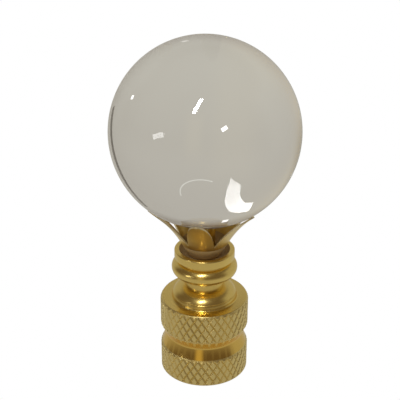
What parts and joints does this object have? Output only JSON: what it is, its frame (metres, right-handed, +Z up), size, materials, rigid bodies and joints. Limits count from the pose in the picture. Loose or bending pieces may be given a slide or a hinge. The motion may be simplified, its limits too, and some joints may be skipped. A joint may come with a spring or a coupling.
{
  "type": "lamp finial",
  "caption": "Lamp finial: a clear glass ball held in a petalled brass cup on a turned brass base, with diamond-knurled grip bands and a tapped hole in the underside for a lamp harp.",
  "frame": {"origin": "centre of the base's underside, where it meets the lamp harp", "axes": "+Z up along the finial's axis from the tapped hole to the ball; one petal of the cup points along -Y"},
  "size_m": [0.03, 0.03, 0.0575],
  "materials": {
    "polished_brass": "polished",
    "clear_glass": "polished clear"
  },
  "bodies": {
    "root": {"knurled_base": "polished_brass", "petal_cup": "polished_brass", "stud": "polished_brass", "crystal_ball": "clear_glass"}
  },
  "joints": []
}
